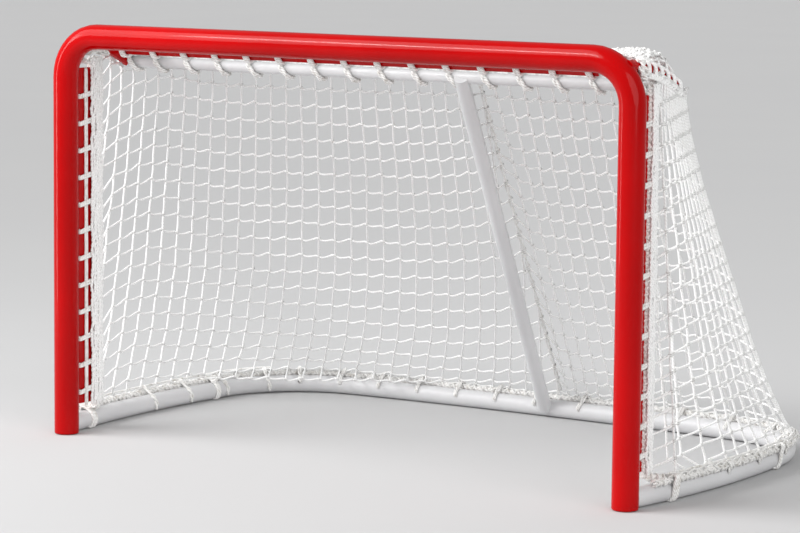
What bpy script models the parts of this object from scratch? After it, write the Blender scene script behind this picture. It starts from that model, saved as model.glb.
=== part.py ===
"""Ice hockey goal: bent steel frame, base tube, rear top bar, strut, laced net.

Metres, +Z up. The goal mouth faces -Y and X runs along the crossbar. The pieces are
built round a point on the floor midway between the posts, and then moved together so
that the origin is on the floor under the middle of the whole goal.
"""

import math

import bmesh
import bpy
from mathutils import Vector

# Driving sizes
GAP = 0.0003
OPENING_WIDTH = 1.829
OPENING_HEIGHT = 1.140
POST_OD = 0.073
BEND_RADIUS = 0.120
CAP_HEIGHT = 0.012
CAP_EDGE = 0.005

BASE_OD = 0.054
BASE_CORNER_OUT = 0.052
BASE_DEPTH = 1.075
BASE_BOW = 0.056
BASE_FLARE = 0.025
BASE_CORNER_CUT = 0.312
CORNER_WEIGHT = 0.72

BAR_OD = 0.0337
BAR_DEPTH = 0.266
BAR_BELOW = 0.0841
ARM_START_BELOW = 0.0165
ARM_DROP_POWER = 2.2
ARM_INSET = 0.0192

STRUT_OD = 0.0424
STRUT_HEAD_X = 0.263
STRUT_FOOT_X = 0.032
STRUT_HEAD_IN = 0.016
STRUT_FOOT_IN = 0.020

STRIP_THICK = 0.005
STRIP_DEPTH = 0.066
STRIP_INSET = 0.012
STRIP_BOTTOM = 0.085
STRIP_TOP_BELOW = 0.095
TOP_STRIP_DEPTH = 0.030
TOP_STRIP_TILT = math.radians(45)
HOLE_D = 0.0125
HOLE_FROM_EDGE = 0.011
TOP_HOLE_FROM_EDGE = 0.0085
STRIP_RUN = 0.020
TOP_STRIP_RUN = 0.008

ROPE_D = 0.018
POST_ROPE_D = 0.022
POST_ROPE_LOW = 0.088
ROPE_OUT = 0.0185
ROPE_BASE_START = 0.09
LACE_D = 0.0085
LACE_HUG = 0.0006
LACE_STEP = LACE_D + 0.0012
LACE_TAIL = 0.03
LACE_LEAD = 0.05
RUN_IN = 0.004
RUN_BEND = 0.07
POST_LACES = 12
LACES_TO_TWO_ROWS = 3
TOP_LACES = 15
TOP_LACE_PITCH = 0.1117
TOP_LACE_SHIFT = 0.018
SIDE_LACES = 4
SIDE_LACE_FIRST = 0.451
SIDE_LACE_PITCH = 0.178
SIDE_TUNNEL_TILT = math.radians(30)
BACK_TUNNEL_Z = 0.036
TIE_D = 0.012
LEFT_TIE_AT = 0.113
RIGHT_TIE_AT = 0.175
CORNER_TIE_AT = 0.757

STRAND = 0.005
STRAND_SEAT = 0.0005
ROWS = 9
SIDE_COLUMNS = 3
LEFT_COLUMNS = 7
RIGHT_COLUMNS = 5
SEAM_D = 0.007
SEAM_BESIDE_STRUT = 0.035
SEAM_ENDS = 0.02
PANEL_SPLIT = 0.0036
BACK_NET_DROP = 0.003
HEM_EASE = 0.05
NET_SAG = 0.027
TOP_NET_RISE = 0.065
TOP_NET_SEAT_TILT = math.radians(65)

# Sizes that follow from them
POST_R = POST_OD / 2
HALF = OPENING_WIDTH / 2 + POST_R
CROSSBAR_Z = OPENING_HEIGHT + POST_R
BAR_HEIGHT = CROSSBAR_Z - BAR_BELOW
ARM_START_HEIGHT = CROSSBAR_Z - ARM_START_BELOW
STRIP_TOP = CROSSBAR_Z - STRIP_TOP_BELOW
BASE_CORNER_HALF = HALF + BASE_CORNER_OUT
BASE_R = BASE_OD / 2
BASE_Z = BASE_R
BAR_R = BAR_OD / 2
ROPE_R = ROPE_D / 2
POST_ROPE_R = POST_ROPE_D / 2
LACE_R = LACE_D / 2
ARM_X = HALF - ARM_INSET
NET_TOP_X = ARM_X + BAR_R + STRAND / 2 + STRAND_SEAT
ROPE_Z = BASE_Z + math.sqrt((BASE_R + ROPE_R + GAP) ** 2 - ROPE_OUT**2)
NET_BASE_Z = ROPE_Z + ROPE_R + STRAND / 2 + GAP
STRIP_X = HALF - STRIP_INSET
STRIP_Y = math.sqrt((POST_R + GAP) ** 2 - (STRIP_INSET - STRIP_THICK / 2) ** 2)
STRIP_BACK = STRIP_Y + STRIP_DEPTH
ROPE_Y = STRIP_BACK + POST_ROPE_R + GAP
NET_FRONT_Y = ROPE_Y + POST_ROPE_R + STRAND / 2 + GAP
BAR_SEAT = BAR_R + STRAND / 2 + STRAND_SEAT
NET_BACK_Y = BAR_DEPTH + BAR_SEAT
LACE_CLEAR = LACE_R + LACE_HUG
RUN_Z = BASE_Z + BASE_R + LACE_CLEAR + 0.001

CROSSBAR = Vector((0, 0, CROSSBAR_Z))
TOP_OUT = Vector((0, math.cos(TOP_STRIP_TILT), -math.sin(TOP_STRIP_TILT)))
TOP_ACROSS = Vector((0, math.sin(TOP_STRIP_TILT), math.cos(TOP_STRIP_TILT)))
TOP_HOLE_DEPTH = POST_R + GAP + TOP_HOLE_FROM_EDGE
TOP_ROPE_DEPTH = TOP_HOLE_DEPTH + LACE_CLEAR + ROPE_R + GAP
TOP_ROPE_OUT = STRIP_THICK / 2 + ROPE_R + GAP
TOP_ROPE = CROSSBAR + TOP_OUT * TOP_ROPE_DEPTH + TOP_ACROSS * TOP_ROPE_OUT
TOP_NET_FRONT = TOP_ROPE + Vector((0, ROPE_R + STRAND / 2 + GAP, 0))
TOP_NET_LIFT = Vector((0, math.cos(TOP_NET_SEAT_TILT), math.sin(TOP_NET_SEAT_TILT)))
TOP_NET_BACK = Vector((0, BAR_DEPTH, BAR_HEIGHT)) + TOP_NET_LIFT * BAR_SEAT
TOP_NET_HALF = ARM_X - BAR_R - STRAND / 2 - STRAND_SEAT
BACK_NET_HALF = NET_TOP_X - 2 * PANEL_SPLIT
SEAM_SPLIT = (SEAM_D + STRAND) / 2 + GAP

RED = ("red_paint", (0.68, 0.005, 0.012), 0.22, 0.0)
WHITE = ("white_paint", (0.80, 0.81, 0.83), 0.35, 0.0)
CORD = ("net_cord", (0.83, 0.82, 0.79), 0.85, 0.0)
ROPE = ("border_rope", (0.78, 0.76, 0.70), 0.9, 0.0)
CAP = ("foot_steel", (0.45, 0.01, 0.015), 0.4, 0.0)


def clear_scene():
    for obj in list(bpy.data.objects):
        bpy.data.objects.remove(obj, do_unlink=True)


def collection(name, hidden=False):
    made = bpy.data.collections.new(name)
    bpy.context.scene.collection.children.link(made)
    made.hide_render = hidden
    return made


def material(name, spec):
    made = bpy.data.materials.new(name + "_" + spec[0])
    made.use_nodes = True
    shader = made.node_tree.nodes["Principled BSDF"]
    shader.inputs["Base Color"].default_value = (*spec[1], 1.0)
    shader.inputs["Roughness"].default_value = spec[2]
    shader.inputs["Metallic"].default_value = spec[3]
    made.diffuse_color = (*spec[1], 1.0)
    return made


clear_scene()
GOAL = collection("ice_hockey_goal")
CUTTERS = collection("cutters", hidden=True)


def keep(obj, spec):
    obj.data.materials.clear()
    obj.data.materials.append(material(obj.name, spec))
    return obj


def tube(name, points, radius, spec, sides=16, radii=None, home=None):
    """A round tube along straight runs between points; sides is even and at least 4."""
    data = bpy.data.curves.new(name, "CURVE")
    data.dimensions = "3D"
    data.bevel_depth = radius
    data.bevel_resolution = (sides - 4) // 2
    data.use_fill_caps = True
    spline = data.splines.new("POLY")
    spline.points.add(len(points) - 1)
    for index, point in enumerate(points):
        spline.points[index].co = (*point, 1.0)
        if radii:
            spline.points[index].radius = radii[index]
    obj = bpy.data.objects.new(name, data)
    (home or GOAL).objects.link(obj)
    return keep(obj, spec)


def as_mesh(obj):
    """The curve object replaced by a closed mesh, so that it can be cut."""
    bpy.context.view_layer.update()
    graph = bpy.context.evaluated_depsgraph_get()
    mesh = bpy.data.meshes.new_from_object(obj.evaluated_get(graph))
    work = bmesh.new()
    work.from_mesh(mesh)
    bmesh.ops.remove_doubles(work, verts=work.verts, dist=0.00001)
    bmesh.ops.recalc_face_normals(work, faces=work.faces)
    work.to_mesh(mesh)
    work.free()
    name = obj.name
    home = obj.users_collection[0]
    place = obj.matrix_world.copy()
    bpy.data.objects.remove(obj, do_unlink=True)
    made = bpy.data.objects.new(name, mesh)
    made.matrix_world = place
    home.objects.link(made)
    return made


def cutter(obj):
    obj.hide_render = True
    obj.display_type = "WIRE"
    return obj


def cut(obj, tool, operation="DIFFERENCE"):
    modifier = obj.modifiers.new("cut_" + tool.name, "BOOLEAN")
    modifier.operation = operation
    modifier.solver = "EXACT"
    modifier.object = tool
    return obj


def box(name, size, centre, spec, home=None):
    work = bmesh.new()
    bmesh.ops.create_cube(work, size=1.0)
    bmesh.ops.scale(work, vec=size, verts=work.verts)
    mesh = bpy.data.meshes.new(name)
    work.to_mesh(mesh)
    work.free()
    obj = bpy.data.objects.new(name, mesh)
    obj.location = centre
    (home or GOAL).objects.link(obj)
    return keep(obj, spec)


def pins(name, rows, radius, length, sides=8):
    """Several short cylinders in one cutter; rows holds (centre, direction) pairs."""
    work = bmesh.new()
    for centre, direction in rows:
        made = bmesh.ops.create_cone(
            work,
            cap_ends=True,
            segments=sides,
            radius1=radius,
            radius2=radius,
            depth=length,
        )
        turn = Vector((0, 0, 1)).rotation_difference(Vector(direction).normalized())
        for vert in made["verts"]:
            vert.co = turn @ vert.co + Vector(centre)
    mesh = bpy.data.meshes.new(name)
    work.to_mesh(mesh)
    work.free()
    obj = bpy.data.objects.new(name, mesh)
    CUTTERS.objects.link(obj)
    return cutter(obj)


def arc(centre, start, end, radius, steps):
    """Points on an arc in the X-Z plane, angles in degrees, both ends included."""
    return [
        (
            centre[0] + radius * math.cos(math.radians(start + (end - start) * i / steps)),
            0.0,
            centre[1] + radius * math.sin(math.radians(start + (end - start) * i / steps)),
        )
        for i in range(steps + 1)
    ]


def frame_route(bottom):
    bend = HALF - BEND_RADIUS
    top = CROSSBAR_Z - BEND_RADIUS
    route = [(-HALF, 0.0, bottom)]
    route += arc((-bend, top), 180, 90, BEND_RADIUS, 9)
    route += arc((bend, top), 90, 0, BEND_RADIUS, 9)
    route += [(HALF, 0.0, bottom)]
    return route


def front_frame():
    tube("front_frame", frame_route(CAP_HEIGHT + GAP), POST_R, RED, sides=20)
    for side, word in ((-1, "left"), (1, "right")):
        foot = [
            (side * HALF, 0.0, 0.0),
            (side * HALF, 0.0, CAP_EDGE * 0.35),
            (side * HALF, 0.0, CAP_EDGE),
            (side * HALF, 0.0, CAP_HEIGHT),
        ]
        shrink = (1 - CAP_EDGE / POST_R, 1 - 0.25 * CAP_EDGE / POST_R, 1.0, 1.0)
        tube("post_foot_" + word, foot, POST_R, CAP, sides=20, radii=shrink)


def base_half():
    """The base tube's centre line on the +X side, from the post to the middle of the back."""
    start = Vector((HALF, 0.0))
    knee = Vector((BASE_CORNER_HALF, BASE_DEPTH))
    along = (start - knee).normalized()
    side_end = knee + along * BASE_CORNER_CUT
    back_x = BASE_CORNER_HALF - BASE_CORNER_CUT

    def back(x):
        return Vector((x, BASE_DEPTH + BASE_BOW * (1 - (x / BASE_CORNER_HALF) ** 2)))

    back_start = back(back_x)
    slope = Vector((-1.0, 2 * BASE_BOW * back_x / BASE_CORNER_HALF**2)).normalized()
    # the two straight directions meet at the corner's control point
    gap = back_start - side_end
    across = along.x * slope.y - along.y * slope.x
    reach = (gap.x * slope.y - gap.y * slope.x) / across
    control = side_end + along * reach
    points = []
    for i in range(9):
        u = i / 8
        point = start.lerp(side_end, u)
        point.x += BASE_FLARE * 4 * u * (1 - u)
        points.append(point)
    for i in range(1, 9):
        u = i / 8
        ends = (1 - u) ** 2 * side_end + u**2 * back_start
        middle = 2 * CORNER_WEIGHT * u * (1 - u)
        points.append((ends + middle * control) / ((1 - u) ** 2 + u**2 + middle))
    for i in range(1, 7):
        points.append(back(back_x * (1 - i / 6)))
    return points


def lengths(points):
    total = [0.0]
    for a, b in zip(points, points[1:]):
        total.append(total[-1] + (b - a).length)
    return total


def at_length(points, total, want):
    want = min(max(want, 0.0), total[-1])
    for i in range(1, len(total)):
        if want <= total[i]:
            u = (want - total[i - 1]) / (total[i] - total[i - 1])
            return points[i - 1].lerp(points[i], u)
    return points[-1].copy()


BASE_LINE = base_half()
BASE_LENGTHS = lengths(BASE_LINE)
CORNER_LENGTH = BASE_LENGTHS[12]
BACK_SPAN = BASE_LENGTHS[-1] - CORNER_LENGTH - PANEL_SPLIT


def base_point(want, side=1):
    """A point of the base centre line at this length from the post, on either side."""
    point = at_length(BASE_LINE, BASE_LENGTHS, want)
    return Vector((side * point.x, point.y))


def base_inward(want, side=1):
    """The level direction from the base tube's centre line into the goal."""
    step = 0.01
    ahead = base_point(want + step, side) - base_point(want - step, side)
    inward = Vector((-ahead.y, ahead.x)) * side
    return inward.normalized()


def base_section(want, side, inward, height, shift=0.0):
    """A point in the cross-section of the base at this length, moved on by shift."""
    point = base_point(want + shift, side) + base_inward(want + shift, side) * inward
    return Vector((point.x, point.y, height))


def whole_base(z, offset=0.0, start=0.0):
    """The whole base line at height z, moved inwards by offset, from left post to right."""
    wants = [w for w in BASE_LENGTHS if w > start + 0.02]
    wants.insert(0, start)
    half = []
    for want in wants:
        point = base_point(want)
        if offset:
            point += base_inward(want) * offset
        half.append((point.x, point.y, z))
    left = [(-x, y, height) for x, y, height in half]
    return left + half[-2::-1]


def across_back(share):
    """Where the back net is at this share of its columns, from left to right.

    The first value is x at the rear bar, the second the length along the base from its middle.
    """
    seam = LEFT_COLUMNS / (LEFT_COLUMNS + RIGHT_COLUMNS)
    at_seam = Vector((STRUT_HEAD_X + SEAM_BESIDE_STRUT, STRUT_FOOT_X + SEAM_BESIDE_STRUT))
    end = Vector((BACK_NET_HALF, BACK_SPAN))
    if share <= seam:
        return (-end).lerp(at_seam, share / seam)
    return at_seam.lerp(end, (share - seam) / (1 - seam))


def column_middles():
    """The middles of the back net's cells, as across_back gives them."""
    columns = LEFT_COLUMNS + RIGHT_COLUMNS
    return [across_back((i + 0.5) / columns) for i in range(columns)]


def lace_places(side):
    """Lengths from the post where a base lace goes through the tube, at the side and the back."""
    along_side = [SIDE_LACE_FIRST + SIDE_LACE_PITCH * i for i in range(SIDE_LACES)]
    along_back = [BASE_LENGTHS[-1] - abs(s) for _, s in column_middles() if side * s > 0]
    return along_side, sorted(along_back)


def base_frame():
    base = as_mesh(tube("base_frame", whole_base(BASE_Z), BASE_R, WHITE, sides=16))
    posts = pins(
        "post_cutter",
        [((side * HALF, 0.0, BASE_Z), (0, 0, 1)) for side in (-1, 1)],
        POST_R + GAP,
        4 * BASE_OD,
        sides=20,
    )
    cut(base, posts)
    rows = []
    for side in (-1, 1):
        side_places, back_places = lace_places(side)
        for want in side_places:
            inward = base_inward(want, side)
            fall = -math.tan(SIDE_TUNNEL_TILT)
            rows.append(((*base_point(want, side), BASE_Z), (*inward, fall)))
        for want in back_places:
            inward = base_inward(want, side)
            rows.append(((*base_point(want, side), BACK_TUNNEL_Z), (*inward, 0.0)))
    cut(base, pins("lace_tunnels", rows, HOLE_D / 2, 1.6 * BASE_OD, sides=6))
    keep(base, WHITE)


def arm_height(y):
    return ARM_START_HEIGHT - (ARM_START_HEIGHT - BAR_HEIGHT) * (y / BAR_DEPTH) ** ARM_DROP_POWER


def rear_bar_and_arms():
    end = ARM_X + BAR_R
    bar = [(-end, BAR_DEPTH, BAR_HEIGHT)]
    bar += [(-end + 0.0035, BAR_DEPTH, BAR_HEIGHT), (-end + 0.012, BAR_DEPTH, BAR_HEIGHT)]
    bar += [(-x, y, z) for x, y, z in reversed(bar)]
    rounding = (0.45, 0.8, 1.0, 1.0, 0.8, 0.45)
    tube("rear_top_bar", bar, BAR_R, WHITE, sides=16, radii=rounding)
    bar_tool = tube(
        "bar_cutter",
        [(side * (HALF + POST_OD), BAR_DEPTH, BAR_HEIGHT) for side in (-1, 1)],
        BAR_R + GAP,
        WHITE,
        sides=16,
        home=CUTTERS,
    )
    bar_tool = cutter(as_mesh(bar_tool))
    bends = frame_route(BAR_HEIGHT - BEND_RADIUS)
    frame_tool = tube("frame_cutter", bends, POST_R + GAP, RED, sides=20, home=CUTTERS)
    frame_tool = cutter(as_mesh(frame_tool))
    for side, word in ((-1, "left"), (1, "right")):
        route = []
        for i in range(9):
            y = BAR_DEPTH * i / 8
            route.append((side * ARM_X, y, arm_height(y)))
        arm = as_mesh(tube("top_arm_" + word, route, BAR_R - 0.0001, RED, sides=14))
        cut(arm, bar_tool)
        cut(arm, frame_tool)
        keep(arm, RED)
    return bar_tool


def strut(bar_tool):
    foot = base_point(BASE_LENGTHS[-1])
    head_y = BAR_DEPTH - STRUT_HEAD_IN
    foot_y = foot.y - STRUT_FOOT_IN
    route = [(STRUT_HEAD_X, head_y, BAR_HEIGHT), (STRUT_FOOT_X, foot_y, BASE_Z)]
    piece = as_mesh(tube("centre_strut", route, STRUT_OD / 2, WHITE, sides=16))
    cut(piece, bar_tool)
    base_tool = tube(
        "base_cutter",
        whole_base(BASE_Z),
        BASE_R + GAP,
        WHITE,
        sides=16,
        home=CUTTERS,
    )
    cut(piece, cutter(as_mesh(base_tool)))
    keep(piece, WHITE)


def post_lace_heights():
    """Where the post laces go through, in step with the net's rows and clear of them."""
    pitch = (arm_height(NET_FRONT_Y) - NET_BASE_Z) / ROWS * 2 / LACES_TO_TWO_ROWS
    return [NET_BASE_Z + pitch * (i + 2 / 3) for i in range(POST_LACES)]


def top_lace_places():
    first = TOP_LACE_SHIFT - TOP_LACE_PITCH * (TOP_LACES - 1) / 2
    return [first + TOP_LACE_PITCH * i for i in range(TOP_LACES)]


def lacing_strips():
    hole_y = STRIP_Y + HOLE_FROM_EDGE
    for side, word in ((-1, "left"), (1, "right")):
        strip = box(
            "lacing_strip_" + word,
            (STRIP_THICK, STRIP_DEPTH, STRIP_TOP - STRIP_BOTTOM),
            (side * STRIP_X, STRIP_Y + STRIP_DEPTH / 2, (STRIP_TOP + STRIP_BOTTOM) / 2),
            RED,
        )
        rows = [((side * STRIP_X, hole_y, z), (1, 0, 0)) for z in post_lace_heights()]
        cut(strip, pins("strip_holes_" + word, rows, HOLE_D / 2, 8 * STRIP_THICK))
    middle = CROSSBAR + TOP_OUT * (POST_R + GAP + TOP_STRIP_DEPTH / 2)
    half = HALF - BEND_RADIUS - 0.01
    strip = box("lacing_strip_top", (2 * half, TOP_STRIP_DEPTH, STRIP_THICK), middle, RED)
    strip.rotation_euler = (-TOP_STRIP_TILT, 0, 0)
    hole = CROSSBAR + TOP_OUT * TOP_HOLE_DEPTH
    rows = [((x, hole.y, hole.z), TOP_ACROSS) for x in top_lace_places()]
    cut(strip, pins("strip_holes_top", rows, HOLE_D / 2, 8 * STRIP_THICK))


def panel(name, place, columns, rows, hem_points=0):
    """A net panel: a grid over the surface place(u, v) made into one body of cord."""
    work = bmesh.new()
    grid = []
    for i in range(columns + 1):
        line = [work.verts.new(place(i / columns, j / rows)) for j in range(rows + 1)]
        grid.append(line)
    for i in range(columns):
        for j in range(rows):
            corners = [grid[i][j], grid[i + 1][j], grid[i + 1][j + 1]]
            if j == rows - 1:
                # the last strand follows the rope between the columns
                for k in range(hem_points, 0, -1):
                    u = (i + k / (hem_points + 1)) / columns
                    corners.append(work.verts.new(place(u, 1.0)))
            corners.append(grid[i][j + 1])
            work.faces.new(corners)
    mesh = bpy.data.meshes.new(name)
    work.to_mesh(mesh)
    work.free()
    obj = bpy.data.objects.new(name, mesh)
    GOAL.objects.link(obj)
    wire = obj.modifiers.new("cord", "WIREFRAME")
    wire.thickness = STRAND
    wire.use_replace = True
    wire.use_boundary = True
    wire.use_even_offset = False
    return keep(obj, CORD)


def hem(want, side):
    """The net's lower edge: over the base rope, but starting straight behind the post."""
    on_rope = base_section(want, side, -ROPE_OUT, NET_BASE_Z)
    behind_post = Vector((side * STRIP_X, want, NET_BASE_Z))
    share = min(max((want - NET_FRONT_Y) / HEM_EASE, 0.0), 1.0)
    return behind_post.lerp(on_rope, share)


def sag(side, share, v):
    """How far the net is drawn in at its rear corners, between its top and its hem."""
    drawn = NET_SAG * share * (1 - (2 * v - 1) ** 4)
    return Vector((-side * drawn, -drawn, 0.0))


def side_place(side):
    def place(u, v):
        y = NET_FRONT_Y + (NET_BACK_Y - NET_FRONT_Y) * u
        top = Vector((side * NET_TOP_X, y, arm_height(min(y, BAR_DEPTH))))
        start = NET_FRONT_Y
        want = start + (CORNER_LENGTH - PANEL_SPLIT - start) * u
        point = top.lerp(hem(want, side), v) + sag(side, u, v)
        # below its first row the front edge hangs straight down behind the strip
        upright = max(1 - SIDE_COLUMNS * u, 0.0) * min(ROWS * v, 1.0)
        point.x += (side * STRIP_X - point.x) * upright
        return point

    return place


def back_point(share, v, aside=0.0):
    """A point of the back net at this share of its columns, moved aside along them."""
    x, along = across_back(share)
    x += aside
    along += aside
    side = 1 if along >= 0 else -1
    top = Vector((x, NET_BACK_Y, BAR_HEIGHT - BACK_NET_DROP))
    foot = base_section(BASE_LENGTHS[-1] - abs(along), side, -ROPE_OUT, NET_BASE_Z)
    return top.lerp(foot, v) + sag(side, abs(along / BACK_SPAN) ** 3, v)


def back_place(first, last, seam_side):
    """The back net between two of its columns, clear of the seam at one side of the panel."""
    columns = LEFT_COLUMNS + RIGHT_COLUMNS

    def place(u, v):
        at_seam = u if seam_side > 0 else 1 - u
        share = (first + (last - first) * u) / columns
        return back_point(share, v, aside=-seam_side * SEAM_SPLIT * at_seam)

    return place


def net_seam():
    """The cord that joins the two halves of the back net, beside the strut."""
    share = LEFT_COLUMNS / (LEFT_COLUMNS + RIGHT_COLUMNS)
    ends = [back_point(share, SEAM_ENDS), back_point(share, 1 - SEAM_ENDS)]
    tube("net_seam", ends, SEAM_D / 2, CORD, sides=6)


def top_place(u, v):
    line = TOP_NET_FRONT.lerp(TOP_NET_BACK, v)
    rise = TOP_NET_RISE * math.sin(math.pi * v)
    x = across_back(u).x * TOP_NET_HALF / BACK_NET_HALF
    return Vector((x, line.y, line.z + rise))


def nets():
    panel("net_left", side_place(-1), SIDE_COLUMNS, ROWS, hem_points=5)
    panel("net_right", side_place(1), SIDE_COLUMNS, ROWS, hem_points=5)
    columns = LEFT_COLUMNS + RIGHT_COLUMNS
    left = back_place(0, LEFT_COLUMNS, 1)
    right = back_place(LEFT_COLUMNS, columns, -1)
    panel("net_back_left", left, LEFT_COLUMNS, ROWS, hem_points=2)
    panel("net_back_right", right, RIGHT_COLUMNS, ROWS, hem_points=2)
    panel("net_top", top_place, columns, rows=2)
    net_seam()


def hug(circles, margin, angles):
    """Corners of the polygon that clears the circles by margin, its sides facing angles."""
    lines = []
    for angle in angles:
        normal = Vector((math.cos(math.radians(angle)), math.sin(math.radians(angle))))
        reach = max(normal.dot(Vector((a, b))) + r for a, b, r in circles) + margin
        lines.append((normal, reach))
    corners = []
    for (n, p), (m, q) in zip(lines, lines[1:]):
        cross = n.x * m.y - n.y * m.x
        corners.append(((p * m.y - q * n.y) / cross, (q * n.x - p * m.x) / cross))
    return corners


def ropes():
    for side, word in ((-1, "left"), (1, "right")):
        low = (side * STRIP_X, ROPE_Y, POST_ROPE_LOW)
        high = (side * STRIP_X, ROPE_Y, arm_height(ROPE_Y) - BAR_R - POST_ROPE_R - 0.01)
        tube("border_rope_" + word, [low, high], POST_ROPE_R, ROPE, sides=8)
    ends = [(side * (TOP_NET_HALF - 0.002), TOP_ROPE.y, TOP_ROPE.z) for side in (-1, 1)]
    tube("border_rope_top", ends, ROPE_R, ROPE, sides=8)
    route = whole_base(ROPE_Z, offset=-ROPE_OUT, start=ROPE_BASE_START)
    tube("border_rope_base", route, ROPE_R, ROPE, sides=6)


def strip_lace(name, stations, place, loop, hole_depth, run_depth):
    """A lace that goes through each of the strip's holes and then along the loop.

    place(out, depth, along) gives a point: out is across the strip, away from the goal's inside.
    The loop holds (out, depth) corners round the rope and the net's edge, back to the inside.
    """
    flank = STRIP_THICK / 2 + LACE_CLEAR
    route = [place(-flank, run_depth, stations[0] - LACE_TAIL)]
    for at in stations:
        route.append(place(-flank, hole_depth, at))
        route.append(place(flank, hole_depth, at))
        for i, (out, depth) in enumerate(loop):
            route.append(place(out, depth, at + LACE_STEP * (i + 1) / len(loop)))
        route.append(place(-flank, run_depth + LACE_STEP, at + LACE_STEP))
    route.append(place(-flank, run_depth, stations[-1] + LACE_TAIL))
    tube(name, route, LACE_R, CORD, sides=4)


def strip_laces():
    hole = STRIP_Y + HOLE_FROM_EDGE
    post_loop = hug(
        ((0.0, ROPE_Y, POST_ROPE_R), (0.0, NET_FRONT_Y, STRAND / 2)),
        LACE_CLEAR,
        (-35, 35, 145, 215),
    )
    for side, word in ((-1, "left"), (1, "right")):

        def beside(out, depth, along, side=side):
            return (side * (STRIP_X + out), depth, along)

        heights = post_lace_heights()
        strip_lace("lace_" + word, heights, beside, post_loop, hole, hole + STRIP_RUN)

    def under(out, depth, along):
        return Vector((along, 0, 0)) + CROSSBAR + TOP_OUT * depth + TOP_ACROSS * out

    edge = TOP_NET_FRONT - CROSSBAR
    # the strip's outer edge counts as a round one that holds its two corners
    strip_edge = (0.0, POST_R + GAP + TOP_STRIP_DEPTH - STRIP_THICK / 2, STRIP_THICK / math.sqrt(2))
    top_loop = hug(
        (
            (TOP_ROPE_OUT, TOP_ROPE_DEPTH, ROPE_R),
            (edge.dot(TOP_ACROSS), edge.dot(TOP_OUT), STRAND / 2),
            strip_edge,
        ),
        LACE_CLEAR,
        (-90, -30, 30, 90, 150, 180),
    )
    run = TOP_HOLE_DEPTH + TOP_STRIP_RUN
    strip_lace("lace_top", top_lace_places(), under, top_loop, TOP_HOLE_DEPTH, run)


def bar_lace():
    """The cord wound along the rear top bar, round the net's two edges there."""
    top = TOP_NET_BACK - Vector((0, BAR_DEPTH, BAR_HEIGHT))
    circles = (
        (0.0, 0.0, BAR_R),
        (top.y, top.z, STRAND / 2),
        (NET_BACK_Y - BAR_DEPTH, -BACK_NET_DROP, STRAND / 2),
    )
    turn = hug(circles, LACE_CLEAR, range(135, 135 + 361, 60))
    middles = [x for x, _ in column_middles()]
    route = []
    for here, after in zip(middles, middles[1:]):
        past_strut = here < STRUT_HEAD_X < after
        for j, (y, z) in enumerate(turn):
            # the way to the next cell is made inside the goal, or behind the bar by the strut
            ahead = float(j > 3) if past_strut else min(j, 3) / 3
            route.append((here + (after - here) * ahead, BAR_DEPTH + y, BAR_HEIGHT + z))
    tube("lace_rear_bar", route, LACE_R, CORD, sides=4)


def base_laces():
    edge = ((-ROPE_OUT, ROPE_Z, ROPE_R), (-ROPE_OUT, NET_BASE_Z, STRAND / 2))
    over = hug(edge, LACE_CLEAR, (180, 130, 90, 45))
    reach = (BASE_R + LACE_CLEAR) / math.cos(math.radians(22))
    run = (RUN_IN, RUN_Z)
    for side, word in ((-1, "left"), (1, "right")):
        side_places, back_places = lace_places(side)
        last = side_places[0] - LACE_LEAD
        route = [base_section(last, side, *run)]
        for want in side_places + back_places:
            bends = round((want - last) / RUN_BEND)
            for i in range(1, bends):
                route.append(base_section(last + (want - last) * i / bends, side, *run))
            last = want
            route.append(base_section(want, side, *run, shift=-LACE_STEP))
            high = math.radians(48)
            route.append(base_section(want, side, reach * math.cos(high), BASE_Z + reach * math.sin(high)))
            if want in side_places:
                # down the tube's inner face, and slanting up through it to the rope
                route.append(base_section(want, side, reach, BASE_Z + 0.004))
                fall = Vector((math.cos(SIDE_TUNNEL_TILT), -math.sin(SIDE_TUNNEL_TILT)))
                near, far = fall * reach, fall * -1.1 * reach
            else:
                near = Vector((math.sqrt(reach**2 - (BACK_TUNNEL_Z - BASE_Z) ** 2), BACK_TUNNEL_Z - BASE_Z))
                far = Vector((-near.x, near.y))
            route.append(base_section(want, side, near.x, BASE_Z + near.y))
            route.append(base_section(want, side, far.x, BASE_Z + far.y))
            for i, (inward, height) in enumerate(over):
                shift = LACE_STEP * (i + 1) / len(over)
                route.append(base_section(want, side, inward, height, shift=shift))
        route.append(base_section(last, side, *run, shift=LACE_STEP))
        tube("lace_base_" + word, route, LACE_R, CORD, sides=4)


def ties():
    """The thick ties round the base tube and its rope, by the posts and at the rear corners."""
    circles = (
        (0.0, BASE_Z, BASE_R),
        (-ROPE_OUT, ROPE_Z, ROPE_R),
        (-ROPE_OUT, NET_BASE_Z, STRAND / 2),
    )
    with_lace = circles + ((RUN_IN, RUN_Z, LACE_R),)
    for name, side, want, held in (
        ("foot_tie_left", -1, LEFT_TIE_AT, circles),
        ("foot_tie_right", 1, RIGHT_TIE_AT, circles),
        ("corner_tie_left", -1, CORNER_TIE_AT, with_lace),
        ("corner_tie_right", 1, CORNER_TIE_AT, with_lace),
    ):
        corners = hug(held, TIE_D / 2 + GAP, range(-30, 211, 40))
        tube(name, [base_section(want, side, a, b) for a, b in corners], TIE_D / 2, CORD, sides=8)


def centre_on_floor():
    """Moves the whole goal along Y so that its depth is halved by the origin."""
    bpy.context.view_layer.update()
    graph = bpy.context.evaluated_depsgraph_get()
    depths = []
    for obj in GOAL.objects:
        whole = obj.evaluated_get(graph)
        depths += [(whole.matrix_world @ vert.co).y for vert in whole.to_mesh().vertices]
        whole.to_mesh_clear()
    shift = -(min(depths) + max(depths)) / 2
    for obj in list(GOAL.objects) + list(CUTTERS.objects):
        obj.location.y += shift


front_frame()
base_frame()
BAR_TOOL = rear_bar_and_arms()
strut(BAR_TOOL)
lacing_strips()
nets()
ropes()
strip_laces()
bar_lace()
base_laces()
ties()
centre_on_floor()
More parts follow.
